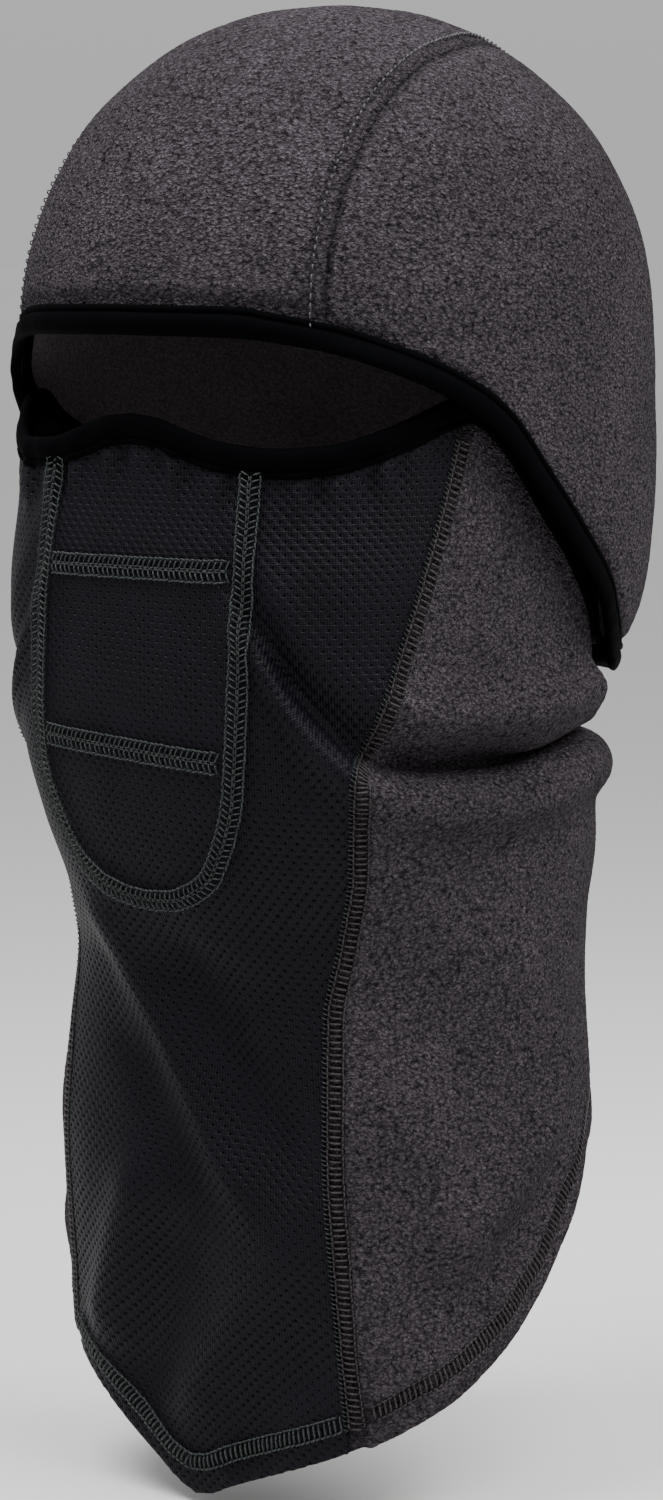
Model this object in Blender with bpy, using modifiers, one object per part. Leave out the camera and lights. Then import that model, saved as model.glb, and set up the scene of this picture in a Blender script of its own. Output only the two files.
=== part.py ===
"""A hinged fleece balaclava: a three-panel hood, a face mask and a neck tube, in metres.

+Z is up, the face looks towards -Y and the wearer's left side is +X. The origin is the top of the
head inside the crown. An angle on the fabric is 0 at the front and grows towards the wearer's left
ear, and a height is measured from the nape, where the hood is sewn to the neck.
"""

import math

import bpy
import numpy as np
from mathutils import Matrix

# ---- driving dimensions, in metres and degrees ----
CROWN_HEIGHT = 0.201
EQUATOR_HEIGHT = 0.105
DOME_ROUNDNESS = 2.05
FLEECE = 0.0025
MESH = 0.0012
BINDING_WIDTH = 0.0086
HOOD_BINDING_THICKNESS = 0.0040
HOOD_BINDING_LIFT = 0.0007
MASK_BINDING_THICKNESS = 0.0032
MASK_BINDING_LIFT = 0.0006
STITCH_THICKNESS = 0.0008
STITCH_LIFT = 0.0012
SEAM_GAP = 0.0006
PATCH_GAP = 0.0024
NAPE_Z = FLEECE - CROWN_HEIGHT
HINGE_Y = 0.083
FLATLOCK_WIDTH = 0.0064
OVERLOCK_WIDTH = 0.0050
TOPSTITCH_WIDTH = 0.0040
HEM_STITCH_RISE = 0.0090
HEM_FOLD = 0.0120
HEM_FOLD_START = 0.0008
HEM_FOLD_THINNESS = 0.8
HEM_SEAM_CLEARANCE = 5.4
HEM_BACK = 176.0
NAPE_TAPE_HEIGHT = -0.008
NAPE_TAPE_WIDTH = 0.012
NAPE_TAPE_THICKNESS = 0.0012
NAPE_TAPE_REACH = 30.0
# Distances from the middle axis, which turn widths of fabric into angles.
HOOD_ARM = 0.090
PATCH_ARM = 0.093
CHEEK_ARM = 0.085
NECK_ARM = 0.078
# A panel's grid follows a seam whose angle depends on the grid's heights, so it is found in turns.
FOLLOW_TURNS = 12
REACH_TURNS = 60

# One row for each height: height, half width, depth in front, depth behind, squareness in front.
HOOD_FORM = (
    (0.000, 0.0775, 0.092, 0.0820, 2.0),
    (0.010, 0.0800, 0.094, 0.0890, 2.0),
    (0.025, 0.0830, 0.097, 0.1000, 2.0),
    (0.040, 0.0845, 0.099, 0.1040, 2.3),
    (0.070, 0.0850, 0.100, 0.1070, 2.6),
    (0.090, 0.0850, 0.101, 0.1070, 2.5),
    (0.105, 0.0845, 0.100, 0.1060, 2.15),
)
MASK_FORM = (
    (-0.080, 0.0745, 0.084, 0.079, 2.3),
    (-0.064, 0.0745, 0.089, 0.079, 2.3),
    (-0.040, 0.0745, 0.093, 0.082, 2.7),
    (-0.020, 0.0750, 0.094, 0.085, 3.0),
    (0.000, 0.0750, 0.095, 0.084, 3.2),
    (0.030, 0.0765, 0.095, 0.090, 3.3),
    (0.060, 0.0770, 0.093, 0.096, 3.0),
    (0.100, 0.0770, 0.092, 0.098, 2.7),
)
NECK_FORM = (
    (-0.250, 0.0740, 0.0660, 0.080, 2.9),
    (-0.190, 0.0750, 0.0700, 0.080, 2.9),
    (-0.140, 0.0750, 0.0750, 0.079, 2.9),
    (-0.112, 0.0725, 0.0760, 0.078, 2.7),
    (-0.098, 0.0705, 0.0770, 0.078, 2.5),
    (-0.080, 0.0695, 0.0790, 0.078, 2.3),
    (-0.064, 0.0685, 0.0795, 0.079, 2.2),
    (-0.040, 0.0695, 0.0800, 0.082, 2.2),
    (-0.022, 0.0705, 0.0800, 0.083, 2.2),
    (-0.008, 0.0740, 0.0800, 0.081, 2.2),
    (0.012, 0.0740, 0.0800, 0.080, 2.2),
)
# The neck hangs a little lower on the wearer's left: sideways slope of a level line, by height.
SIDE_SLOPE = ((-0.230, 0.168), (-0.060, 0.110), (-0.011, 0.070), (0.040, 0.0))

# Lines on the fabric, as (angle, height), and seams, as (height, angle).
HOOD_EDGE_LEFT = (
    (0, 0.106), (20, 0.1055), (36, 0.102), (48, 0.096), (62, 0.086), (70, 0.078), (80, 0.063),
    (92, 0.045), (104, 0.029), (112, 0.016), (125, 0.005), (180, 0.002),
)
HOOD_EDGE_RIGHT = (
    (0, 0.106), (20, 0.1055), (36, 0.103), (45, 0.098), (51, 0.087), (60, 0.074), (70, 0.067),
    (80, 0.058), (92, 0.044), (104, 0.029), (112, 0.016), (125, 0.005), (180, 0.002),
)
MASK_EDGE_LEFT = (
    (0, 0.0835), (6, 0.0825), (12, 0.0795), (20, 0.076), (29, 0.0745), (38, 0.0755),
    (48, 0.080), (62, 0.088), (68, 0.088), (80, 0.073), (92, 0.055), (104, 0.039), (112, 0.027),
)
MASK_EDGE_RIGHT = (
    (0, 0.0835), (6, 0.0825), (12, 0.0795), (20, 0.076), (29, 0.0755), (38, 0.080), (48, 0.088),
    (54, 0.089), (64, 0.081), (80, 0.068), (92, 0.054), (104, 0.039), (112, 0.027),
)
MASK_RIM = ((0, -0.074), (30, -0.066), (44, -0.052), (60, -0.038), (75, -0.031), (115, -0.030))
TUCK = 0.009
HEM = (
    (0, -0.2335), (5, -0.2318), (12, -0.2270), (22, -0.2205), (44, -0.205), (52, -0.199),
    (65, -0.1886), (80, -0.176), (92, -0.164), (101, -0.1515), (111, -0.139), (120, -0.127),
    (150, -0.118), (180, -0.116),
)
SIDE_SEAM = (
    (-0.235, 44), (-0.194, 41), (-0.155, 38.5), (-0.120, 37), (-0.085, 37), (-0.062, 40),
    (-0.040, 42), (-0.018, 42), (0.000, 46), (0.031, 53.5), (0.069, 62), (0.080, 64),
)
PATCH_LEFT = ((-0.056, 0), (-0.0535, 9), (-0.044, 17), (-0.019, 22), (0.035, 24), (0.080, 25.5))
PATCH_RIGHT = ((-0.056, 0), (-0.0535, 9), (-0.044, 17), (-0.019, 22), (0.035, 20), (0.080, 18))
UPPER_CROSS_SEAM = 0.040
LOWER_CROSS_SEAM = -0.012
CHIN_TIP = -0.0555
CHEEK_BACK = 109.0
NECK_RISE = 114.0
# Heights near the top of the mask, at the sides of the patch and over the nose.
MASK_TOP_NEAR = 0.068
NOSE_TOP = 0.0765
# The hood seams, as (angle over the head from the brow, angle off the middle plane).
HOOD_SEAM = ((0, 37.8), (35, 36), (60, 33.5), (90, 28), (114, 19.5), (160, 13), (232, 10))
HOOD_SEAM_NAPE = 164.5

MATERIALS = {
    "fleece": ((0.115, 0.108, 0.112), 0.95),
    "mesh_fabric": ((0.038, 0.037, 0.040), 0.75),
    "binding": ((0.012, 0.011, 0.012), 0.65),
    "thread": ((0.075, 0.085, 0.090), 0.60),
    "fleece_thread": ((0.120, 0.114, 0.118), 0.70),
}


# ---- the fabric's surfaces ----
def curve(keys, at):
    """A smooth, monotone curve through (position, value) keys."""
    keys = np.array(keys, float)
    place, value = keys[:, 0], keys[:, 1]
    at = np.clip(np.asarray(at, float), place[0], place[-1])
    slope = np.diff(value) / np.diff(place)
    before, after = slope[:-1], slope[1:]
    tangent = np.concatenate([slope[:1], np.zeros(len(slope) - 1), slope[-1:]])
    same = before * after > 0
    tangent[1:-1][same] = 2 * before[same] * after[same] / (before[same] + after[same])
    i = np.clip(np.searchsorted(place, at) - 1, 0, len(place) - 2)
    span = place[i + 1] - place[i]
    u = (at - place[i]) / span
    start = value[i] * (1 + 2 * u) * (1 - u) ** 2 + tangent[i] * span * u * (1 - u) ** 2
    return start + value[i + 1] * u * u * (3 - 2 * u) + tangent[i + 1] * span * u * u * (u - 1)


def two_sided(left, right, angle):
    """A line on the fabric that has its own keys on the wearer's left and right."""
    return np.where(np.asarray(angle) < 0, curve(right, np.abs(angle)), curve(left, np.abs(angle)))


def hood_edge(angle):
    return two_sided(HOOD_EDGE_LEFT, HOOD_EDGE_RIGHT, angle)


def mask_edge(angle):
    return two_sided(MASK_EDGE_LEFT, MASK_EDGE_RIGHT, angle)


def form_radius(form, angle, height):
    """How far the fabric is from the middle axis, in the direction of an angle in degrees."""
    rows = np.array(form)
    wide, front, back, square = (curve(rows[:, (0, i)], height) for i in range(1, 5))
    across, ahead = np.abs(np.sin(np.radians(angle))), np.cos(np.radians(angle))
    deep = np.where(ahead > 0, front, back)
    power = np.where(ahead > 0, square, 2.0)
    return ((across / wide) ** power + (np.abs(ahead) / deep) ** power) ** (-1 / power)


def lower_point(form, angle, height, out=0.0):
    """A point of the mask or the neck, which hang as a tube."""
    angle, height = np.broadcast_arrays(np.asarray(angle, float), np.asarray(height, float))
    far = form_radius(form, angle, height) + out
    x, y = far * np.sin(np.radians(angle)), -far * np.cos(np.radians(angle))
    return np.stack([x, y, NAPE_Z + height - curve(SIDE_SLOPE, height) * x], -1)


def mask_point(angle, height, out=0.0):
    return lower_point(MASK_FORM, angle, height, out)


def neck_point(angle, height, out=0.0):
    return lower_point(NECK_FORM, angle, height, out)


def hood_reach(direction):
    """How far the hood is from the middle of the head, along unit directions."""
    level = np.hypot(direction[..., 0], direction[..., 1])
    up = direction[..., 2]
    angle = np.degrees(np.arctan2(direction[..., 0], -direction[..., 1]))
    wide = form_radius(HOOD_FORM, angle, EQUATOR_HEIGHT)
    tall = CROWN_HEIGHT - EQUATOR_HEIGHT
    dome = (level / wide) ** DOME_ROUNDNESS + (np.abs(up) / tall) ** DOME_ROUNDNESS
    reach = dome ** (-1 / DOME_ROUNDNESS)
    for _ in range(REACH_TURNS):
        side = form_radius(HOOD_FORM, angle, EQUATOR_HEIGHT + reach * up)
        reach = np.where(up < 0, 0.5 * reach + 0.5 * side / np.maximum(level, 1e-6), reach)
    return reach


def hood_along(direction, out=0.0):
    direction = direction / np.linalg.norm(direction, axis=-1, keepdims=True)
    middle = np.array([0.0, 0.0, NAPE_Z + EQUATOR_HEIGHT])
    return middle + direction * (hood_reach(direction) + out)[..., None]


def hood_point(angle, height, out=0.0):
    """A point low on the hood, at an angle round the head and a height above the nape."""
    far = form_radius(HOOD_FORM, angle, height)
    turn = np.radians(angle)
    rise = height - EQUATOR_HEIGHT + 0 * far
    return hood_along(np.stack([far * np.sin(turn), -far * np.cos(turn), rise], -1), out)


def seam_direction(over, off):
    """The direction of a point of the hood at an angle over the head and one off the middle."""
    over, off = np.radians(over), np.radians(off)
    return np.stack([np.sin(off), -np.cos(off) * np.cos(over), np.cos(off) * np.sin(over)], -1)


def beside(form, angle, height, distance):
    """The line that runs beside a line on the fabric, at a distance to its left."""
    far = form_radius(form, angle, height)
    along = np.gradient(np.radians(angle)) * far
    rise = np.gradient(height)
    length = np.hypot(along, rise)
    return angle - np.degrees(distance * rise / length / far), height + distance * along / length


# ---- building ----
def new_material(name):
    colour, roughness = MATERIALS[name]
    material = bpy.data.materials.new(name)
    material.use_nodes = True
    shader = material.node_tree.nodes["Principled BSDF"]
    shader.inputs["Base Color"].default_value = (*colour, 1.0)
    shader.inputs["Roughness"].default_value = roughness
    shader.inputs["Metallic"].default_value = 0.0
    material.diffuse_color = (*colour, 1.0)
    return material


def outward(points):
    """The grid, turned round if its faces would look at the middle of the head."""
    i, j = points.shape[0] // 2, points.shape[1] // 2
    across, up = points[i] - points[i - 1], points[:, j] - points[:, j - 1]
    facing = np.cross(across[j], up[i])
    middle = np.array([0.0, 0.0, min(points[i, j, 2], NAPE_Z + EQUATOR_HEIGHT)])
    return points if facing @ (points[i, j] - middle) > 0 else points[::-1]


def fabric(name, points, thickness, material, body, ring=False):
    """A sheet of fabric lofted through a grid of points, thickened inwards with Solidify."""
    points = outward(points)
    rows, columns = points.shape[:2]
    last = rows if ring else rows - 1
    corners = [
        (i * columns + j, (i + 1) % rows * columns + j, (i + 1) % rows * columns + j + 1,
         i * columns + j + 1)
        for i in range(last)
        for j in range(columns - 1)
    ]
    mesh = bpy.data.meshes.new(name)
    mesh.from_pydata(points.reshape(-1, 3).tolist(), [], corners)
    own_material = material.copy()
    own_material.name = f"{name}_{material.name}"
    mesh.materials.append(own_material)
    part = bpy.data.objects.new(name, mesh)
    collection.objects.link(part)
    solid = part.modifiers.new("thickness", "SOLIDIFY")
    solid.thickness = thickness
    solid.offset = -1.0
    place_on(part, body)
    return part


def place_on(part, body):
    """Parents a part to its body's empty without moving it, with its origin on the empty."""
    here = Matrix.Translation(body.location)
    part.data.transform(here.inverted())
    part.parent = body


def body_empty(name, location):
    body = bpy.data.objects.new(name, None)
    body.location = location
    body.empty_display_size = 0.03
    collection.objects.link(body)
    return body


def between(first, second, columns):
    """Grid rows that run from each point of one line to the matching point of another."""
    share = np.linspace(0, 1, columns)[None, :]
    return first[:, None] * (1 - share) + second[:, None] * share


def band(point, form, angle, height, edges, out, columns=3):
    """A grid along a line on the fabric, between two distances to its left."""
    low, high = (beside(form, angle, height, d) for d in edges)
    angles = between(low[0], high[0], columns)
    heights = between(low[1], high[1], columns)
    return point(angles, heights, out)


def stitch_line(name, point, form, angle, height, width, body, material):
    """A raised row of stitching along a line on the fabric."""
    grid = band(point, form, angle, height, (-width / 2, width / 2), STITCH_LIFT + STITCH_THICKNESS)
    return fabric(name, grid, STITCH_THICKNESS, material, body)


# ---- the hood ----
def hood_angle_over(angle, height):
    """The angle over the head, from the brow, of a point low on the hood."""
    far = form_radius(HOOD_FORM, angle, height)
    over = np.degrees(np.arctan2(height - EQUATOR_HEIGHT, far * np.cos(np.radians(angle))))
    return np.where(over < -20, over + 360, over)


def bound_edge(form, edge, reach, distance):
    """The line, as keys, where the panels end next to the binding on a free edge."""
    angle = np.linspace(-reach, reach, 241)
    return np.stack(beside(form, angle, edge(angle), distance), -1)


def hood_panels(body, fleece, thread):
    gap = math.degrees(SEAM_GAP / 2 / HOOD_ARM)
    share = np.linspace(0, 1, 25)
    ends = (HOOD_SEAM[0][1], HOOD_SEAM_NAPE)
    inset = bound_edge(HOOD_FORM, hood_edge, 180, BINDING_WIDTH + SEAM_GAP)
    side = np.linspace(-1, 1, 11)[None, :]
    front, back = ends[0] * side, np.where(side < 0, -180, 180) - (180 - ends[1]) * side
    start = hood_angle_over(front, curve(inset, front))
    end = hood_angle_over(back, curve(inset, back))
    over = start + (end - start) * share[:, None]
    off = side * (curve(HOOD_SEAM, over) - gap)
    fabric("hood_center_panel", hood_along(seam_direction(over, off)), FLEECE, fleece, body)
    middle = np.array([0.0, 0.0, NAPE_Z + EQUATOR_HEIGHT])
    edge_angle = curve(((0, ends[0] + 4), (0.5, 96), (1, ends[1] - 3)), share)
    for name, sign in (("left", 1), ("right", -1)):
        over_seam = over[:, -1 if sign > 0 else 0]
        seam = curve(HOOD_SEAM, over_seam)
        top = hood_along(seam_direction(over_seam, sign * (seam + gap)))
        low = hood_point(sign * edge_angle, curve(inset, sign * edge_angle))
        rays = between_rays(top - middle, low - middle, 12)
        fabric(f"hood_{name}_panel", hood_along(rays), FLEECE, fleece, body)
        half = math.degrees(TOPSTITCH_WIDTH / 2 / HOOD_ARM)
        line = between(sign * (seam - half), sign * (seam + half), 3)
        grid = hood_along(seam_direction(over_seam[:, None] + 0 * line, line),
                          STITCH_LIFT + STITCH_THICKNESS)
        fabric(f"hood_{name}_seam_stitch", grid, STITCH_THICKNESS, thread, body)


def between_rays(first, second, columns):
    """Directions that turn evenly from one line of directions to another."""
    first = first / np.linalg.norm(first, axis=-1, keepdims=True)
    second = second / np.linalg.norm(second, axis=-1, keepdims=True)
    share = np.linspace(0, 1, columns)[None, :, None]
    apart = np.arccos(np.clip((first * second).sum(-1), -1, 1))[:, None, None]
    return np.sin((1 - share) * apart) * first[:, None] + np.sin(share * apart) * second[:, None]


def hood_binding(body, tape):
    angle = np.linspace(-180, 180, 61)[:-1]
    height = hood_edge(angle)
    wrapped = np.concatenate([angle[-1:] - 360, angle, angle[:1] + 360])
    edge = np.concatenate([height[-1:], height, height[:1]])
    grid = band(hood_point, HOOD_FORM, wrapped, edge, (0, BINDING_WIDTH),
                HOOD_BINDING_LIFT)[1:-1]
    fabric("hood_binding", grid, HOOD_BINDING_THICKNESS, tape, body, ring=True)


# ---- the mask ----
def patch_leg(side, sign, steps):
    """One side of the U, from its top down to the chin."""
    top = mask_top(sign * curve(side, MASK_TOP_NEAR))
    sweep = 1 - (1 - np.linspace(0, 1, steps)) ** 1.6
    height = top + (CHIN_TIP - top) * sweep
    return sign * curve(side, height), height


def patch_outline(steps):
    """The U round the mouth patch, from its top on the wearer's right to its top on the left."""
    right, left = patch_leg(PATCH_RIGHT, -1, steps), patch_leg(PATCH_LEFT, 1, steps)
    angle = np.concatenate([right[0], left[0][-2::-1]])
    return angle, np.concatenate([right[1], left[1][-2::-1]])


def front_leg(sign, steps):
    """One side of the mask's front panel, down its seam and in along the rim to the middle."""
    low = curve(MASK_RIM, 38)
    heights = np.linspace(mask_top(sign * 61), low, steps - 4)
    seam = curve(SIDE_SEAM, heights) - math.degrees(SEAM_GAP / 2 / HOOD_ARM)
    rim = np.linspace(seam[-1], 0, 5)[1:]
    return sign * np.concatenate([seam, rim]), np.concatenate([heights, curve(MASK_RIM, rim)])


def front_outline(steps):
    """The outside of the mask's front panel, in the same order as the patch's outline."""
    right, left = front_leg(-1, steps), front_leg(1, steps)
    angle = np.concatenate([right[0], left[0][-2::-1]])
    return angle, np.concatenate([right[1], left[1][-2::-1]])


def mask_top(angle):
    return curve(bound_edge(MASK_FORM, mask_edge, 112, -BINDING_WIDTH - SEAM_GAP), angle)


def mask_front(body, mesh_fabric):
    steps = 19
    inner_angle, inner_height = patch_outline(steps)
    outer_angle, outer_height = front_outline(steps)
    inner_angle, inner_height = beside(MASK_FORM, inner_angle, inner_height, -PATCH_GAP / 2)
    angles = between(inner_angle, outer_angle, 8)
    heights = between(inner_height, outer_height, 8)
    fade = np.linspace(1, 0, steps // 2)[:, None]
    heights[:len(fade)] += (mask_top(angles[0]) - heights[0]) * fade
    heights[-len(fade):] += (mask_top(angles[-1]) - heights[-1]) * fade[::-1]
    fabric("mask_front_panel", mask_point(angles, heights), MESH, mesh_fabric, body)


def patch_panels(body, mesh_fabric):
    gap = SEAM_GAP / 2
    turn = math.degrees(PATCH_GAP / 2 / PATCH_ARM)
    levels = {
        "nose_panel": (UPPER_CROSS_SEAM + gap, None, 5),
        "mouth_panel": (LOWER_CROSS_SEAM + gap, UPPER_CROSS_SEAM - gap, 6),
        "chin_panel": (CHIN_TIP + PATCH_GAP, LOWER_CROSS_SEAM - gap, 9),
    }
    for name, (low, high, rows) in levels.items():
        share = np.linspace(0, 1, rows)
        top = NOSE_TOP if high is None else high
        heights = low + (top - low) * (share**1.8 if name == "chin_panel" else share)
        left = curve(PATCH_LEFT, heights) - turn
        right = -curve(PATCH_RIGHT, heights) + turn
        angles = between(right, left, 9).T
        grid = np.broadcast_to(heights[None, :], angles.shape).copy()
        if high is None:
            grid = low + (mask_top(angles) - low) * share[None, :]
        fabric(name, mask_point(angles, grid), MESH, mesh_fabric, body)


def cheek_panels(body, fleece):
    rows = 10
    share = np.linspace(0, 1, rows)
    for side, sign in (("left", 1), ("right", -1)):
        across = np.linspace(0, 1, 10)[:, None]
        angles = 50 + (CHEEK_BACK - 50) * across + 0 * share
        for _ in range(FOLLOW_TURNS):
            low = curve(MASK_RIM, angles)
            heights = low + (mask_top(sign * angles) - low) * share[None, :]
            seam = curve(SIDE_SEAM, heights[0]) + math.degrees(SEAM_GAP / 2 / CHEEK_ARM)
            angles = seam[None, :] + (CHEEK_BACK - seam[None, :]) * across
        fabric(f"mask_{side}_cheek", mask_point(sign * angles, heights), FLEECE, fleece, body)


def mask_trim(body, tape, thread, fleece_thread):
    angle = np.linspace(-CHEEK_BACK, CHEEK_BACK, 49)
    grid = band(mask_point, MASK_FORM, angle, mask_edge(angle), (-BINDING_WIDTH, 0),
                MASK_BINDING_LIFT)
    fabric("mask_binding", grid, MASK_BINDING_THICKNESS, tape, body)
    angle, height = patch_outline(19)
    angle, height = angle[1:-1], height[1:-1]
    stitch_line("patch_edge_stitch", mask_point, MASK_FORM, angle, height,
                FLATLOCK_WIDTH, body, thread)
    for name, level in (("upper", UPPER_CROSS_SEAM), ("lower", LOWER_CROSS_SEAM)):
        inset = math.degrees((FLATLOCK_WIDTH / 2 + SEAM_GAP) / PATCH_ARM)
        ends = (-curve(PATCH_RIGHT, level) + inset, curve(PATCH_LEFT, level) - inset)
        angle = np.linspace(*ends, 10)
        stitch_line(f"{name}_cross_stitch", mask_point, MASK_FORM, angle, level + 0 * angle,
                    FLATLOCK_WIDTH, body, thread)
    for side, sign in (("left", 1), ("right", -1)):
        height = np.linspace(0.071, -0.054, 16)
        stitch_line(f"mask_{side}_seam_stitch", mask_point, MASK_FORM,
                    sign * curve(SIDE_SEAM, height), height, OVERLOCK_WIDTH, body, fleece_thread)


# ---- the neck ----
def neck_top(angle):
    """The top edge of the neck: tucked inside the mask, then rising behind the cheeks."""
    tucked = curve(MASK_RIM, angle) + TUCK
    behind = curve(((NECK_RISE, 0.006), (121, 0.003), (128, -0.003), (180, -0.004)), angle)
    rise = np.clip((angle - CHEEK_BACK) / (NECK_RISE - CHEEK_BACK), 0, 1)
    return tucked + (behind - tucked) * rise


def neck_panels(body, mesh_fabric, fleece):
    gap = math.degrees(SEAM_GAP / 2 / NECK_ARM)
    share = np.linspace(0, 1, 14)
    across = np.linspace(-1, 1, 13)[:, None]
    angles = 40 * across + 0 * share
    for _ in range(FOLLOW_TURNS):
        low, high = curve(HEM, np.abs(angles)), neck_top(np.abs(angles))
        heights = low + (high - low) * share
        angles = across * (curve(SIDE_SEAM, heights[-1]) - gap)[None, :]
    fabric("neck_front_panel", neck_point(angles, heights), MESH, mesh_fabric, body)
    steps = np.linspace(0, 1, 10)[:, None]
    behind = np.linspace(NECK_RISE, 180 - gap, 8)[:, None] + 0 * share
    for side, sign in (("left", 1), ("right", -1)):
        angles = np.concatenate([40 + (CHEEK_BACK - 40) * steps + 0 * share, behind])
        for _ in range(FOLLOW_TURNS):
            heights = curve(HEM, angles) + (neck_top(angles) - curve(HEM, angles)) * share
            seam = curve(SIDE_SEAM, heights[0]) + gap
            angles = np.concatenate([seam + (CHEEK_BACK - seam) * steps, behind])
        fabric(f"neck_{side}_panel", neck_point(sign * angles, heights), FLEECE, fleece, body)


def neck_trim(body, fleece_thread):
    for side, sign in (("left", 1), ("right", -1)):
        height = np.linspace(-0.079, -0.199, 14)
        stitch_line(f"neck_{side}_seam_stitch", neck_point, NECK_FORM,
                    sign * curve(SIDE_SEAM, height), height, OVERLOCK_WIDTH, body, fleece_thread)
    height = np.linspace(-0.014, -0.105, 12)
    stitch_line("neck_back_seam_stitch", neck_point, NECK_FORM, 180 + 0 * height, height,
                OVERLOCK_WIDTH, body, fleece_thread)


def hem_pieces(body, mesh_fabric, fleece, thread, fleece_thread):
    edge = curve(SIDE_SEAM, -0.2)
    inner, outer = edge - HEM_SEAM_CLEARANCE, edge + HEM_SEAM_CLEARANCE
    spans = {
        "front": (-inner, inner, mesh_fabric, MESH, thread),
        "left": (outer, HEM_BACK, fleece, FLEECE, fleece_thread),
        "right": (-HEM_BACK, -outer, fleece, FLEECE, fleece_thread),
    }
    for name, (start, end, cloth, thickness, sewing) in spans.items():
        angle = np.linspace(start, end, 16)
        height = curve(HEM, np.abs(angle))
        inside = -thickness - SEAM_GAP
        grid = band(neck_point, NECK_FORM, angle, height, (HEM_FOLD_START, HEM_FOLD), inside)
        fabric(f"{name}_hem_fold", grid, thickness * HEM_FOLD_THINNESS, cloth, body)
        line = beside(NECK_FORM, angle, height, HEM_STITCH_RISE)
        stitch_line(f"{name}_hem_stitch", neck_point, NECK_FORM, *line, OVERLOCK_WIDTH,
                    body, sewing)


def nape_tape(body, tape):
    """The tape that covers, inside, the seam between the hood and the neck."""
    angle = np.linspace(180 - NAPE_TAPE_REACH, 180 + NAPE_TAPE_REACH, 13)
    sides = (-NAPE_TAPE_WIDTH / 2, NAPE_TAPE_WIDTH / 2)
    grid = band(neck_point, NECK_FORM, angle, NAPE_TAPE_HEIGHT + 0 * angle, sides,
                -FLEECE - SEAM_GAP)
    fabric("nape_tape", grid, NAPE_TAPE_THICKNESS, tape, body)


for stale in list(bpy.data.objects):
    bpy.data.objects.remove(stale, do_unlink=True)
collection = bpy.data.collections.new("balaclava")
bpy.context.scene.collection.children.link(collection)
cloths = {name: new_material(name) for name in MATERIALS}
neck = body_empty("neck_body", (0.0, 0.0, NAPE_Z))
mask = body_empty("mask_body", (0.0, 0.0, NAPE_Z))
hood = body_empty("hood_body", (0.0, HINGE_Y, NAPE_Z))

hood_panels(hood, cloths["fleece"], cloths["fleece_thread"])
hood_binding(hood, cloths["binding"])
mask_front(mask, cloths["mesh_fabric"])
patch_panels(mask, cloths["mesh_fabric"])
cheek_panels(mask, cloths["fleece"])
mask_trim(mask, cloths["binding"], cloths["thread"], cloths["fleece_thread"])
neck_panels(neck, cloths["mesh_fabric"], cloths["fleece"])
neck_trim(neck, cloths["fleece_thread"])
hem_pieces(neck, cloths["mesh_fabric"], cloths["fleece"], cloths["thread"],
           cloths["fleece_thread"])
nape_tape(neck, cloths["binding"])
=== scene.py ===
"""The looks of a hinged fleece balaclava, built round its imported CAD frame, in metres.

An angle on the fabric is 0 at the front and grows towards the wearer's left ear (+X). A height is
measured from the nape, where the hood is sewn to the neck. The forms and lines repeat part.py's.
"""

import math

import bpy
import numpy as np
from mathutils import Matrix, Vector


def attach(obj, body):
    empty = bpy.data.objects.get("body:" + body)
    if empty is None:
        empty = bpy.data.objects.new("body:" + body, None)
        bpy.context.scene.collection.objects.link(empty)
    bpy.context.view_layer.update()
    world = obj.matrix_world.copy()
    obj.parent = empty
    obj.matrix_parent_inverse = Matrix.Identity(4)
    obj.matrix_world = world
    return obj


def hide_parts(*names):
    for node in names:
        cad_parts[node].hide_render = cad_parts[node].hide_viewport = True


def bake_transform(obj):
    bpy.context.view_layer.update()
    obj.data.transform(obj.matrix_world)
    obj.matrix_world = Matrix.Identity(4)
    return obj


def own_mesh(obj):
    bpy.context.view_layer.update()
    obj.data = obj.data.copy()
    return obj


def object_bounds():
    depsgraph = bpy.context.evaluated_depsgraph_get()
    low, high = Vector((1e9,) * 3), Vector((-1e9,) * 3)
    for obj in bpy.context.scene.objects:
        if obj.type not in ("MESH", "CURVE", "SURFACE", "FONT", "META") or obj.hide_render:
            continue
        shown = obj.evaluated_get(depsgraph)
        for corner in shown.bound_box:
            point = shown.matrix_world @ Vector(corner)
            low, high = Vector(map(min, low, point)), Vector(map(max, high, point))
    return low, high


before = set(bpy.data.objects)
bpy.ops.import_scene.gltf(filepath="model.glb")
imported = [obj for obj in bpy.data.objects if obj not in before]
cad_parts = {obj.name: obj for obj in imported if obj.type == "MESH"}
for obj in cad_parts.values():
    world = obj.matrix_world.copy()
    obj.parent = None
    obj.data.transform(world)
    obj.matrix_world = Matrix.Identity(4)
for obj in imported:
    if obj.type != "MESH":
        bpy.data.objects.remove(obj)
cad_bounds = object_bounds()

# ---- sizes shared with the CAD ----
CROWN_HEIGHT = 0.201
EQUATOR_HEIGHT = 0.105
DOME_ROUNDNESS = 2.05
FLEECE = 0.0025
NAPE_Z = FLEECE - CROWN_HEIGHT
BINDING_WIDTH = 0.0086
FLATLOCK_WIDTH = 0.0064
OVERLOCK_WIDTH = 0.0050
HEM_STITCH_RISE = 0.0090
HEM_FOLD = 0.0120

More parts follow.
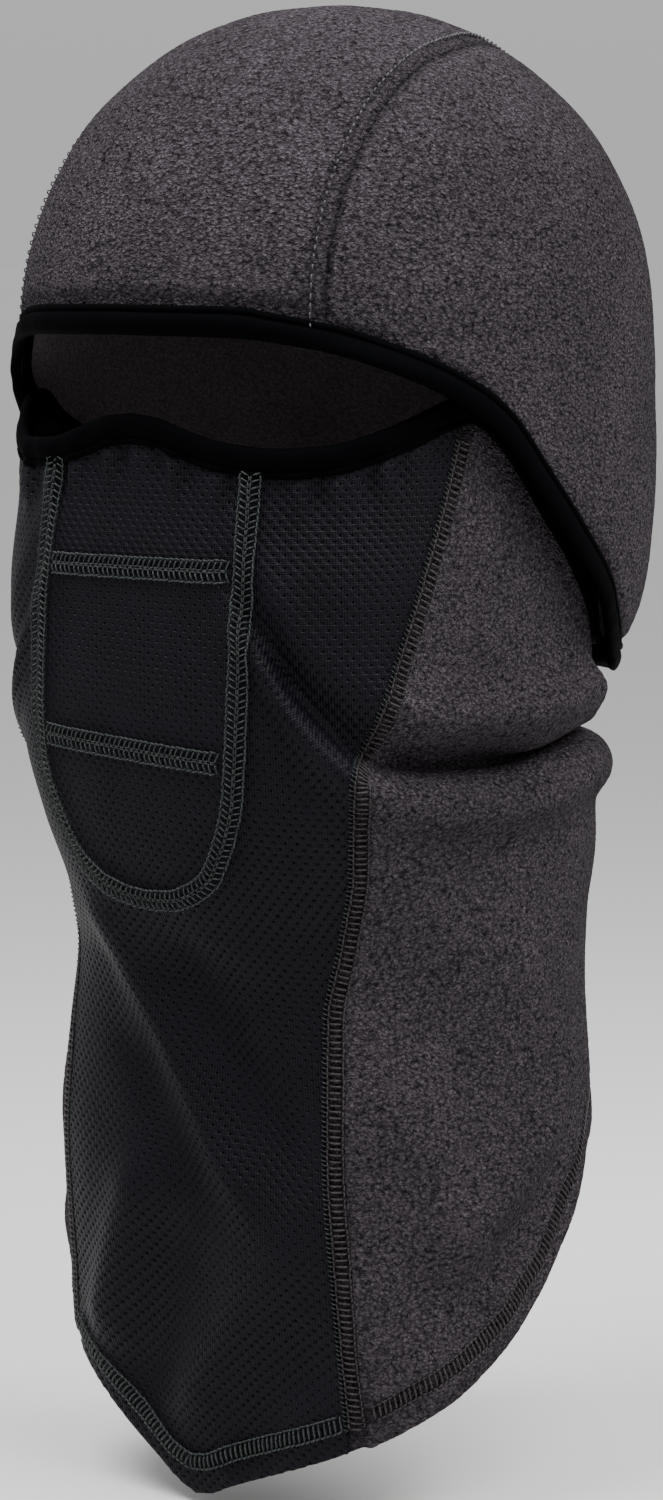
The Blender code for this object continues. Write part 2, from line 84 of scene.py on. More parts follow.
# One row for each height: height, half width, depth in front, depth behind, squareness in front.
HOOD_FORM = (
    (0.000, 0.0775, 0.092, 0.0820, 2.0),
    (0.010, 0.0800, 0.094, 0.0890, 2.0),
    (0.025, 0.0830, 0.097, 0.1000, 2.0),
    (0.040, 0.0845, 0.099, 0.1040, 2.3),
    (0.070, 0.0850, 0.100, 0.1070, 2.6),
    (0.090, 0.0850, 0.101, 0.1070, 2.5),
    (0.105, 0.0845, 0.100, 0.1060, 2.15),
)
LOWER_FORM = (
    (-0.250, 0.0740, 0.066, 0.080, 2.9),
    (-0.190, 0.0750, 0.070, 0.080, 2.9),
    (-0.140, 0.0750, 0.075, 0.079, 2.9),
    (-0.110, 0.0730, 0.076, 0.078, 2.7),
    (-0.080, 0.0700, 0.080, 0.078, 2.3),
    (-0.064, 0.0700, 0.087, 0.079, 2.2),
    (-0.040, 0.0720, 0.092, 0.080, 2.6),
    (-0.020, 0.0735, 0.094, 0.080, 3.0),
    (0.000, 0.0745, 0.095, 0.081, 3.2),
    (0.030, 0.0765, 0.095, 0.090, 3.3),
    (0.060, 0.0770, 0.093, 0.096, 3.0),
    (0.100, 0.0770, 0.092, 0.098, 2.7),
)
SIDE_SLOPE = ((-0.230, 0.168), (-0.060, 0.110), (-0.011, 0.070), (0.040, 0.0))

# Lines on the fabric, as (angle, height), and seams, as (height, angle).
HOOD_EDGE_LEFT = (
    (0, 0.106), (20, 0.1055), (36, 0.102), (48, 0.096), (62, 0.086), (70, 0.078), (80, 0.063),
    (92, 0.045), (104, 0.029), (112, 0.016), (125, 0.005), (180, 0.002),
)
HOOD_EDGE_RIGHT = (
    (0, 0.106), (20, 0.1055), (36, 0.103), (45, 0.098), (51, 0.087), (60, 0.074), (70, 0.067),
    (80, 0.058), (92, 0.044), (104, 0.029), (112, 0.016), (125, 0.005), (180, 0.002),
)
MASK_EDGE_LEFT = (
    (0, 0.0835), (6, 0.0825), (12, 0.0795), (20, 0.076), (29, 0.0745), (38, 0.0755),
    (48, 0.080), (62, 0.088), (68, 0.0895), (80, 0.079), (92, 0.061), (104, 0.045), (112, 0.033),
    (125, 0.019), (180, 0.014),
)
MASK_EDGE_RIGHT = (
    (0, 0.0835), (6, 0.0825), (12, 0.0795), (20, 0.076), (29, 0.0755), (38, 0.080), (48, 0.088),
    (52, 0.0882), (60, 0.0815), (70, 0.0745), (80, 0.0655), (92, 0.0520), (104, 0.0370),
    (112, 0.0245), (125, 0.019), (180, 0.014),
)
HEM = (
    (0, -0.2335), (5, -0.2318), (12, -0.2270), (22, -0.2205), (44, -0.205), (52, -0.199),
    (65, -0.1886), (80, -0.176), (92, -0.164), (101, -0.1515), (111, -0.139), (120, -0.127),
    (150, -0.118), (180, -0.116),
)
SIDE_SEAM = (
    (-0.235, 44), (-0.194, 41), (-0.155, 38.5), (-0.120, 37), (-0.085, 37), (-0.062, 40),
    (-0.040, 42), (-0.018, 42), (0.000, 46), (0.031, 53.5), (0.069, 62), (0.080, 64),
)
PATCH_LOW = ((-0.056, 0), (-0.0535, 9), (-0.044, 17), (-0.019, 22))
PATCH_LEFT = PATCH_LOW + ((0.035, 24), (0.080, 25.5))
PATCH_RIGHT = PATCH_LOW + ((0.035, 20), (0.080, 18))
UPPER_CROSS_SEAM = 0.040
LOWER_CROSS_SEAM = -0.012
CHIN_TIP = -0.0555
HOOD_SEAM = ((0, 37.8), (35, 36), (60, 33.5), (90, 28), (114, 19.5), (160, 13), (232, 10))
HOOD_SEAM_NAPE = 164.5
# The fold under the jaw: the line of its crease, and how deep it is at each angle.
JAW_CREASE = (
    (18, 0.045), (27.5, 0.022), (32, 0.010), (36.5, 0.001), (41.5, -0.006), (46, -0.0105),
    (57, -0.0145), (70, -0.0155), (82, -0.0155), (97, -0.0135), (118, -0.011), (150, -0.012),
    (180, -0.014),
)
JAW_DEPTH = ((18, 0.0), (24, 0.35), (31, 0.8), (46, 1.0), (125, 1.0), (150, 0.8), (180, 0.6))
# Soft folds, each as start (angle, height), end (angle, height), width and height.
SOFT_FOLDS = (
    ((-16, -0.062), (20, -0.145), 0.007, 0.0040),
    ((0, -0.060), (30, -0.128), 0.009, -0.0034),
    ((-14, -0.098), (6, -0.150), 0.008, -0.0026),
    ((-10, -0.138), (-30, -0.200), 0.008, 0.0040),
    ((2, -0.150), (-18, -0.215), 0.009, -0.0030),
    ((34, -0.140), (-4, -0.216), 0.009, 0.0034),
    ((36, -0.176), (14, -0.222), 0.008, -0.0024),
    ((53, -0.120), (55, -0.168), 0.011, -0.0036),
    ((44, -0.150), (47, -0.196), 0.006, 0.0028),
    ((66, -0.168), (104, -0.128), 0.008, -0.0040),
    ((62, -0.150), (98, -0.112), 0.009, 0.0032),
    ((58, -0.188), (84, -0.164), 0.006, 0.0020),
    ((50, -0.062), (70, -0.110), 0.012, -0.0024),
    ((80, -0.050), (108, -0.112), 0.014, 0.0026),
    ((66, 0.020), (98, 0.008), 0.006, 0.0018),
    ((-60, -0.060), (-110, -0.110), 0.012, 0.0026),
    ((-50, -0.180), (-90, -0.140), 0.009, 0.0028),
    ((-84, -0.040), (-70, -0.120), 0.012, -0.0024),
    ((140, -0.030), (165, -0.100), 0.012, 0.0024),
    ((-140, -0.030), (-160, -0.100), 0.012, 0.0024),
)

# The parts of the jaw's fold, in millimetres: how far each stands out on knit, how much further on
# fleece, how high above the crease its middle is, and its reach.
JAW_BULGE = (1.0, 5.6, 17, 7.5)
JAW_RIDGE = (4.4, 1.4, -9.5, 5.8)
JAW_HANG = (2.0, 2.8, -5.5, 4.5)
JAW_POCKET = (5.2, 7.4)
POCKET_REACH = (9.0, 4.6)
LIFT_BEHIND = (5.0, 9, 5.5)
RIGHT_SHARE = 0.6
# The gathers under the mask's tape: their depth, and where they are below the edge and their reach.
GATHER_DEPTH = 0.0011
GATHER_BELOW = 0.0125
GATHER_REACH = 0.0065
UNDER_HOOD = 0.0052

# Metres to a degree of turn: beside the patch, and for the lengths of the soft folds.
ARC = 0.00162
FOLD_ARC = 0.0013
HOLE_PITCH = 0.0034
HOLE_ROW = 0.0018
HOLE_SIZE = 0.00050
LIP_DEPTH = 0.00010
PIT_DEPTH = 0.00075
SEAM_ALLOWANCE = 3.0
TUCK_DEPTH = 0.0034
KNIT = 0.0010
KNIT_HEM_ROLL = 0.0011
FLEECE_HEM_ROLL = 0.0019
EDGE_INSET = 0.0015
FLEECE_INSIDE = 0.0018
PRESS_DEPTH = 0.0010
TOPSTITCH_OFF = 0.0046
SEAM_PRESS = 0.0024
HOOD_TAPE = 0.0048
MASK_TAPE = 0.0042
TAPE_STEP = 0.0011
NAPE_TAPE = 0.0008
NAPE_TAPE_TURN = (149, 211)
NAPE_TAPE_RISE = (-0.0050, 0.0088)
NUB_HEIGHT = 0.00045
NUB_SIZE = (0.0024, 0.0024, 0.0016)
# The fleece's soft lumps: height, size and seed.
LUMPS = ((0.0004, 0.016, 9), (0.0006, 0.042, 10))
STITCH_PITCH = 0.0019
STITCH_MARGIN = 0.0008
FLATLOCK_THREAD = 0.00023
LADDER_THREAD = 0.00032
TICK_THREAD = 0.00018
# A flatlock's slanted stitch, edge loop and core, as points along, across and out from its line.
FLATLOCK_SHAPES = (
    ((0, 0.0003, 0.0006), (0.0002, 0.0009, 0.0012), (0.0006, 0.0018, 0.0013),
     (0.0009, 0.0025, 0.0011), (0.0010, 0.0030, 0.0004)),
    ((0, 0.0030, 0.0006), (0.0006, 0.0032, 0.0012), (0.0013, 0.0031, 0.0013),
     (0.0020, 0.0029, 0.0011), (0.0024, 0.0028, 0.0005)),
    ((0, 0.0004, 0.0005), (0.0007, 0.0002, 0.0010), (0.0014, 0.0003, 0.0010),
     (0.0021, 0.0005, 0.0004)),
)
# A tape's section: across from its free edge at 0, and out from the middle of its thickness.
TAPE_SECTION = (
    (1.0, 0.10), (0.97, 0.42), (0.88, 0.56), (0.80, 0.52), (0.765, 0.30), (0.73, 0.52),
    (0.62, 0.86), (0.45, 1.0), (0.25, 0.98), (0.10, 0.80), (0.015, 0.45), (-0.01, 0.05),
    (0.02, -0.40), (0.12, -0.80), (0.35, -0.98), (0.65, -0.98), (0.90, -0.80), (1.0, -0.35),
)


# ---- curves and forms ----
def curve(keys, at):
    """A smooth, monotone curve through (position, value) keys."""
    keys = np.array(keys, float)
    place, value = keys[:, 0], keys[:, 1]
    at = np.clip(np.asarray(at, float), place[0], place[-1])
    slope = np.diff(value) / np.diff(place)
    before, after = slope[:-1], slope[1:]
    tangent = np.concatenate([slope[:1], np.zeros(len(slope) - 1), slope[-1:]])
    same = before * after > 0
    tangent[1:-1][same] = 2 * before[same] * after[same] / (before[same] + after[same])
    i = np.clip(np.searchsorted(place, at) - 1, 0, len(place) - 2)
    span = place[i + 1] - place[i]
    u = (at - place[i]) / span
    start = value[i] * (1 + 2 * u) * (1 - u) ** 2 + tangent[i] * span * u * (1 - u) ** 2
    return start + value[i + 1] * u * u * (3 - 2 * u) + tangent[i + 1] * span * u * u * (u - 1)


def smooth(value):
    value = np.clip(value, 0, 1)
    return value * value * (3 - 2 * value)


def two_sided(left, right, angle):
    """A line on the fabric that has its own keys on the wearer's left and right."""
    return np.where(np.asarray(angle) < 0, curve(right, np.abs(angle)), curve(left, np.abs(angle)))


def hood_edge(angle):
    return two_sided(HOOD_EDGE_LEFT, HOOD_EDGE_RIGHT, angle)


def mask_edge(angle):
    return two_sided(MASK_EDGE_LEFT, MASK_EDGE_RIGHT, angle)


def form_radius(form, angle, height):
    """How far the fabric is from the middle axis, in the direction of an angle in degrees."""
    rows = np.array(form)
    wide, front, back, square = (curve(rows[:, (0, i)], height) for i in range(1, 5))
    across, ahead = np.abs(np.sin(np.radians(angle))), np.cos(np.radians(angle))
    deep = np.where(ahead > 0, front, back)
    power = np.where(ahead > 0, square, 2.0)
    return ((across / wide) ** power + (np.abs(ahead) / deep) ** power) ** (-1 / power)


def near_line(angle, height, start, end, width):
    """1 along a line between two points of the fabric, fading to 0 beside it and at its ends."""
    a = np.array([start[0] * FOLD_ARC, start[1]])
    b = np.array([end[0] * FOLD_ARC, end[1]])
    along = b - a
    px, py = angle * FOLD_ARC - a[0], height - a[1]
    share = (px * along[0] + py * along[1]) / (along @ along)
    off = (px * along[1] - py * along[0]) / np.linalg.norm(along)
    return np.exp(-((off / width) ** 2)) * smooth(share * 3 + 0.4) * smooth((1 - share) * 3 + 0.4)


def hill(away, middle, reach):
    return np.exp(-(((away - middle) / reach) ** 2))


def jaw_fold(angle, height):
    """The fold under the jaw: how far it stands out, and how far it hangs down."""
    side = np.abs(angle)
    depth = curve(JAW_DEPTH, side) * np.where(np.asarray(angle) < 0, RIGHT_SHARE, 1.0)
    fleecy = smooth((side - 42) / 14)
    away = (height - curve(JAW_CREASE, side)) * 1000
    bulge, ridge, hang = ((knitted + extra * fleecy) * hill(away, middle, reach)
                          for knitted, extra, middle, reach in (JAW_BULGE, JAW_RIDGE, JAW_HANG))
    pocket = np.where(away > 0, *POCKET_REACH)
    crease = (JAW_POCKET[0] + JAW_POCKET[1] * fleecy) * hill(away, 0, pocket)
    behind = smooth((side - 74) / 22)
    hang = hang - LIFT_BEHIND[0] * behind * hill(away, *LIFT_BEHIND[1:])
    return (bulge - crease + ridge) * depth / 1000, hang * depth / 1000


def lower_surface(angle, height, out=0.0):
    """A point of the mask and neck, with their folds."""
    angle, height = np.broadcast_arrays(np.asarray(angle, float), np.asarray(height, float))
    far = form_radius(LOWER_FORM, angle, height)
    fold, hang = jaw_fold(angle, height)
    far = far + fold
    for start, end, width, rise in SOFT_FOLDS:
        far = far + rise * near_line(angle, height, start, end, width)
    from_edge = mask_edge(angle) - height
    gathers = np.sin(angle * 0.82) + 0.45 * np.sin(angle * 1.31 + 1.7)
    front = smooth((64 - np.abs(angle)) / 12)
    far = far + GATHER_DEPTH * gathers * front * hill(from_edge, GATHER_BELOW, GATHER_REACH)
    edge = hood_edge(angle)
    under = form_radius(HOOD_FORM, angle, edge) - UNDER_HOOD
    tuck = smooth((height - edge + 0.009) / 0.008) * smooth((np.abs(angle) - 56) / 12)
    far = far + (np.minimum(far, under) - far) * tuck + out
    x, y = far * np.sin(np.radians(angle)), -far * np.cos(np.radians(angle))
    return np.stack([x, y, NAPE_Z + height + hang - curve(SIDE_SLOPE, height) * x], -1)


def hood_reach(direction):
    """How far the hood is from the middle of the head, along unit directions."""
    level = np.hypot(direction[..., 0], direction[..., 1])
    up = direction[..., 2]
    angle = np.degrees(np.arctan2(direction[..., 0], -direction[..., 1]))
    wide = form_radius(HOOD_FORM, angle, EQUATOR_HEIGHT)
    tall = CROWN_HEIGHT - EQUATOR_HEIGHT
    dome = (level / wide) ** DOME_ROUNDNESS + (np.abs(up) / tall) ** DOME_ROUNDNESS
    reach = dome ** (-1 / DOME_ROUNDNESS)
    low = up < 0
    for _ in range(40):
        side = form_radius(HOOD_FORM, angle[low], EQUATOR_HEIGHT + reach[low] * up[low])
        reach[low] = 0.5 * reach[low] + 0.5 * side / np.maximum(level[low], 1e-6)
    return reach


def hood_along(direction, out=0.0):
    direction = direction / np.linalg.norm(direction, axis=-1, keepdims=True)
    middle = np.array([0.0, 0.0, NAPE_Z + EQUATOR_HEIGHT])
    return middle + direction * (hood_reach(direction) + out)[..., None]


def hood_surface(angle, height, out=0.0):
    """A point low on the hood, at an angle round the head and a height above the nape."""
    angle, height = np.broadcast_arrays(np.asarray(angle, float), np.asarray(height, float))
    far = form_radius(HOOD_FORM, angle, height)
    turn = np.radians(angle)
    rise = height - EQUATOR_HEIGHT
    return hood_along(np.stack([far * np.sin(turn), -far * np.cos(turn), rise], -1), out)


def seam_direction(over, off):
    """The direction of a point of the hood at an angle over the head and one off the middle."""
    over, off = np.radians(over), np.radians(off)
    return np.stack([np.sin(off), -np.cos(off) * np.cos(over), np.cos(off) * np.sin(over)], -1)


# ---- seeded noise ----
def lattice(cell, seed):
    """An even random number from 0 to 1 for each whole cell."""
    whole = cell.astype(np.int64)
    mixed = whole[..., 0] * 73856093 ^ whole[..., 1] * 19349663 ^ whole[..., 2] * 83492791
    mixed = (mixed + seed * 2654435761) & 0xFFFFFFFF
    mixed = ((mixed ^ (mixed >> 15)) * 2246822519) & 0xFFFFFFFF
    mixed = ((mixed ^ (mixed >> 13)) * 3266489917) & 0xFFFFFFFF
    return ((mixed ^ (mixed >> 16)) & 0xFFFFFF) / float(0x1000000)


def cloud(points, size, seed):
    """Smooth noise from -1 to 1."""
    place = points / size
    base = np.floor(place)
    share = smooth(place - base)
    total = 0.0
    for corner in range(8):
        step = np.array([corner & 1, corner >> 1 & 1, corner >> 2 & 1])
        weight = np.prod(np.where(step == 1, share, 1 - share), axis=-1)
        total = total + weight * lattice(base + step, seed)
    return total * 2 - 1


def nubs(points, seed):
    """The fleece's pills: 1 on top of each, 0 between them."""
    place = points / np.array(NUB_SIZE)
    base = np.floor(place)
    nearest = np.full(points.shape[:-1], 9.0)
    for step in np.ndindex(3, 3, 3):
        cell = base + (np.array(step) - 1)
        jitter = np.stack([lattice(cell, seed + n) for n in range(3)], -1)
        gap = ((cell + 0.1 + 0.8 * jitter - place) ** 2).sum(-1)
        nearest = np.minimum(nearest, gap)
    return np.sqrt(np.clip(1 - nearest / 0.72, 0, 1))


# ---- meshes ----
def unit(vectors):
    return vectors / np.maximum(np.linalg.norm(vectors, axis=-1, keepdims=True), 1e-12)


def outwards(points):
    """Directions away from the middle of the head, or from the neck's axis."""
    away = points.copy()
    away[..., 2] = np.maximum(points[..., 2] - NAPE_Z - EQUATOR_HEIGHT, 0.0)
    return unit(away)


def grid_normals(points):
    """Outward normals of a grid of points."""
    normal = unit(np.cross(np.gradient(points, axis=0), np.gradient(points, axis=1)))
    i, j = points.shape[0] // 2, points.shape[1] // 2
    return normal if normal[i, j] @ outwards(points[i, j]) > 0 else -normal


def grid_faces(rows, columns, ring=False):
    i, j = np.meshgrid(np.arange(rows if ring else rows - 1), np.arange(columns - 1), indexing="ij")
    after = (i + 1) % rows
    corners = [i * columns + j, after * columns + j, after * columns + j + 1, i * columns + j + 1]
    return np.stack(corners, -1).reshape(-1, 4)


def grid_chart(points):
    """Distances in metres over a grid: along its first axis, and along its second."""
    first = np.linalg.norm(np.diff(points, axis=0), axis=-1)
    second = np.linalg.norm(np.diff(points, axis=1), axis=-1)
    first = np.pad(np.cumsum(first, axis=0), ((1, 0), (0, 0)))
    second = np.pad(np.cumsum(second, axis=1), ((0, 0), (1, 0)))
    return first, second


def facing(points, faces, normal):
    """The faces, turned round if they look against the normals of their points."""
    a, b, c = (points[faces[:, k]] for k in range(3))
    against = (np.cross(b - a, c - a) * normal[faces[:, 0]]).sum(-1) < 0
    return faces[:, ::-1] if against.mean() > 0.5 else faces


def rim_edges(faces):
    """The edges that only one face has, in that face's direction."""
    ends = np.concatenate([faces[:, [k, (k + 1) % 4]] for k in range(4)])
    _, index, count = np.unique(np.sort(ends, axis=1), axis=0, return_inverse=True,
                                return_counts=True)
    return ends[count[index.reshape(-1)] == 1]


def thick(points, inner, faces):
    """A closed skin: the faces, the same faces turned round on the inner points, and the rims."""
    total = len(points)
    rim = rim_edges(faces)
    sides = np.stack([rim[:, 1], rim[:, 0], rim[:, 0] + total, rim[:, 1] + total], -1)
    skin = np.concatenate([faces, faces[:, ::-1] + total, sides])
    return np.concatenate([points, inner]), skin, len(faces)


def fill(target, field, values, kind=np.float32):
    target.foreach_set(field, np.ascontiguousarray(values, kind).ravel())


def make_piece(name, points, faces, materials, chart=None, values=None, inside=None):
    """A smooth-shaded object from points and four-cornered faces; faces inside take material 2."""
    mesh = bpy.data.meshes.new(name)
    mesh.vertices.add(len(points))
    fill(mesh.vertices, "co", points)
    mesh.loops.add(faces.size)
    fill(mesh.loops, "vertex_index", faces, np.int32)
    mesh.polygons.add(len(faces))
    fill(mesh.polygons, "loop_start", np.arange(0, faces.size, 4), np.int32)
    for material in materials:
        mesh.materials.append(material)
    if inside is not None:
        fill(mesh.polygons, "material_index", inside, np.int32)
    mesh.polygons.foreach_set("use_smooth", np.ones(len(faces), bool))
    mesh.update(calc_edges=True)
    if chart is not None:
        layer = mesh.uv_layers.new(name="grain")
        fill(layer.data, "uv", chart[faces.ravel()])
    rest = mesh.attributes.new("rest", "FLOAT_VECTOR", "POINT")
    fill(rest.data, "vector", points)
    for key, value in (values or {}).items():
        attribute = mesh.attributes.new(key, "FLOAT", "POINT")
        fill(attribute.data, "value", value)
    piece = bpy.data.objects.new(name, mesh)
    bpy.context.scene.collection.objects.link(piece)
    return piece


def fleece_sheet(name, points, press_and_shade, long_axis, seed):
    """A sheet of fleece on a grid: pills, soft lumps, and seams that press it down, where its material
    adds painted shade.
    """
    normal = grid_normals(points)
    pile = nubs(points, seed)
    lumps = sum(high * cloud(points, size, seed + more) for high, size, more in LUMPS)
    rise = pile * NUB_HEIGHT * (1 - 0.7 * press_and_shade) + lumps * (1 - press_and_shade) - PRESS_DEPTH * press_and_shade
    grown = (points + normal * rise[..., None]).reshape(-1, 3)
    inner = (points - normal * FLEECE_INSIDE).reshape(-1, 3)
    chart = np.stack(grid_chart(points)[::1 if long_axis == 0 else -1], -1).reshape(-1, 2)
    faces = facing(grown, grid_faces(*points.shape[:2]), normal.reshape(-1, 3))
    skin, faces, outer = thick(grown, inner, faces)
    values = {"pile": np.concatenate([pile.ravel(), 0.5 * np.ones(len(inner))]),
              "press_and_shade": np.concatenate([press_and_shade.ravel(), press_and_shade.ravel()])}
    inside = (np.arange(len(faces)) >= outer) & (np.arange(len(faces)) < 2 * outer)
    return make_piece(name, skin, faces, [fleece, fleece_inside_painted_light], np.concatenate([chart, chart]),
                      values, inside)


class Line:
    """A line on a surface, measured along its length and across it, in metres."""

    def __init__(self, surface, a, b, steps=(0.25, 0.0004)):
        self.surface = surface
        self.a, self.b = np.broadcast_arrays(np.asarray(a, float), np.asarray(b, float))
        here = surface(self.a, self.b)
        by_a = (surface(self.a + steps[0], self.b) - here) / steps[0]
        by_b = (surface(self.a, self.b + steps[1]) - here) / steps[1]
        normal = unit(np.cross(by_a, by_b))
        normal *= np.sign((normal * outwards(here)).sum(-1, keepdims=True))
        across = np.cross(normal, unit(np.gradient(here, axis=0)))
        aa, ab, bb = (by_a * by_a).sum(-1), (by_a * by_b).sum(-1), (by_b * by_b).sum(-1)
        ca, cb = (across * by_a).sum(-1), (across * by_b).sum(-1)
        size = aa * bb - ab * ab
        self.by_a, self.by_b = (ca * bb - cb * ab) / size, (cb * aa - ca * ab) / size
        gaps = np.linalg.norm(np.diff(here, axis=0), axis=-1)
        self.place = np.concatenate([[0.0], np.cumsum(gaps)])
        self.length = self.place[-1]

    def at(self, along, across, out):
        along, across, out = np.broadcast_arrays(along, across, out)
        a = np.interp(along, self.place, self.a) + across * np.interp(along, self.place, self.by_a)
        b = np.interp(along, self.place, self.b) + across * np.interp(along, self.place, self.by_b)
        return self.surface(a, b, out)


def tubes(paths, radius, sides=6):
    """Many short threads, each a tube that thins towards its ends: their points and faces."""
    count, steps = paths.shape[:2]
    run = unit(np.gradient(paths, axis=1))
    side = unit(np.cross(run, outwards(paths)))
    up = np.cross(side, run)
    thin = np.sin(np.linspace(0.25, math.pi - 0.25, steps)) ** 0.4
    turn = np.linspace(0, 2 * math.pi, sides, endpoint=False)[:, None]
    ring = np.cos(turn) * up[:, :, None] + np.sin(turn) * side[:, :, None]
    points = paths[:, :, None] + radius * thin[None, :, None, None] * ring
    i, k = np.meshgrid(np.arange(steps - 1), np.arange(sides), indexing="ij")
    after = (k + 1) % sides
    wall = np.stack([i * sides + k, i * sides + after, (i + 1) * sides + after, (i + 1) * sides + k], -1)
    last = (steps - 1) * sides
    caps = [(0, 5, 4, 3), (0, 3, 2, 1), (last, last + 1, last + 2, last + 3),
            (last, last + 3, last + 4, last + 5)]
    one = np.concatenate([wall.reshape(-1, 4), np.array(caps)])
    faces = one[None] + (np.arange(count) * steps * sides)[:, None, None]
    return points.reshape(-1, 3), faces.reshape(-1, 4)


def stitches(line, pitch, shape):
    """The paths of a row of stitches; shape is the (along, across, out) points of one of them."""
    begin = np.arange(STITCH_MARGIN, line.length - STITCH_MARGIN - shape[-1][0], pitch)
    begin = begin + rng.uniform(-0.06, 0.06, len(begin)) * pitch
    along, across, out = np.array(shape, float).T
    wobble = rng.uniform(-0.00012, 0.00012, (len(begin), 1))
    return line.at(begin[:, None] + along, across + wobble, out)


def sew(name, rows, radius, material):
    """One piece from rows of stitches."""
    parts = [tubes(paths, radius) for paths in rows if len(paths)]
    starts = np.cumsum([0] + [len(points) for points, _ in parts[:-1]])
    points = np.concatenate([points for points, _ in parts])
    faces = np.concatenate([faces + start for (_, faces), start in zip(parts, starts)])
    return make_piece(name, points, faces, [material])


def flatlock(name, line, material):
    """Two rows of slanted stitches, with looped threads along both edges."""
    rows = [stitches(line, STITCH_PITCH, [(s, sign * c, o) for s, c, o in shape])
            for sign in (1, -1) for shape in FLATLOCK_SHAPES]
    return sew(name, rows, FLATLOCK_THREAD, material)


def ladder(name, line, material, width=OVERLOCK_WIDTH, pitch=STITCH_PITCH, middle=0.0, lift=0.0,
           slant=0.0004):
    """A cover stitch: short rungs across the seam, with a thread along each side."""
    half = width / 2
    rung = [(0, -1.0, 0.0003), (0.3, -0.55, 0.0010), (0.5, 0.0, 0.0012), (0.7, 0.55, 0.0010),
            (1.0, 1.0, 0.0003)]
    rows = [stitches(line, pitch, [(s * slant, middle + c * half, lift + o) for s, c, o in rung])]
    for sign in (1, -1):
        rail = [(0, 1.0, 0.0003), (0.35, 1.05, 0.0009), (0.8, 1.0, 0.0009), (1.15, 0.95, 0.0002)]
        rows.append(stitches(line, pitch, [(s * pitch, middle + sign * c * half, lift + o)
                                           for s, c, o in rail]))
    return sew(name, rows, LADDER_THREAD, material)


def ticks(name, line, material, sign):
    """Fine slanted stitches where the knit meets the fleece."""
    tick = [(0, -0.0012 * sign, 0.0001), (0.0003, -0.0006 * sign, 0.0006),
            (0.0006, 0.0004 * sign, 0.0003)]
    return sew(name, [stitches(line, 0.0014, tick)], TICK_THREAD, material)


def running(name, line, material, pitch, across, out, radius):
    """One row of running stitches."""
    dash = [(0, across, out - 0.0006), (0.0004, across, out + 0.0001),
            (pitch * 0.4, across, out + 0.0003), (pitch * 0.62, across, out - 0.0006)]
    return sew(name, [stitches(line, pitch, dash)], radius, material)


def tape(name, line, width, thickness, lift, material, ring=False):
    """A folded tape round an edge of the fabric: its free edge is at 0 and it covers width."""
    count = int(line.length / TAPE_STEP)
    along = np.linspace(0, line.length, count + 1)[:-1 if ring else None, None]
    width = np.interp(along, line.place, np.broadcast_to(width, line.place.shape))
    across, out = np.array(TAPE_SECTION).T
    pleat = cloud(np.stack([along[:, 0] / 0.0045, 0 * along[:, 0], 0 * along[:, 0] + 3.5], -1), 1.0, 51)
    wave = cloud(np.stack([along[:, 0] / 0.022, 0 * along[:, 0], 0 * along[:, 0] + 7.5], -1), 1.0, 52)
    upper = (out > 0.2) & (across > 0.05)
    fat = 1 + (0.16 * pleat + 0.10 * wave)[:, None] * upper
    points = line.at(along, across * width * (1 + 0.03 * wave[:, None]),
                     lift + out * fat * thickness / 2)
    rows, columns = points.shape[:2]
    faces = grid_faces(columns, rows, ring=True)
    grid = np.swapaxes(points, 0, 1)
    if ring:
        grid = np.concatenate([grid, grid[:, :1]], axis=1)
        faces = grid_faces(columns, rows + 1, ring=True)
    flat = grid.reshape(-1, 3)
    middle = grid.mean(0, keepdims=True)
    faces = facing(flat, faces, (grid - middle).reshape(-1, 3))
    chart = np.stack(np.broadcast_arrays(np.linspace(0, line.length, grid.shape[1])[None, :],
                                         np.cumsum(np.full(columns, TAPE_STEP))[:, None]), -1)
    return make_piece(name, flat, faces, [material], chart.reshape(-1, 2))


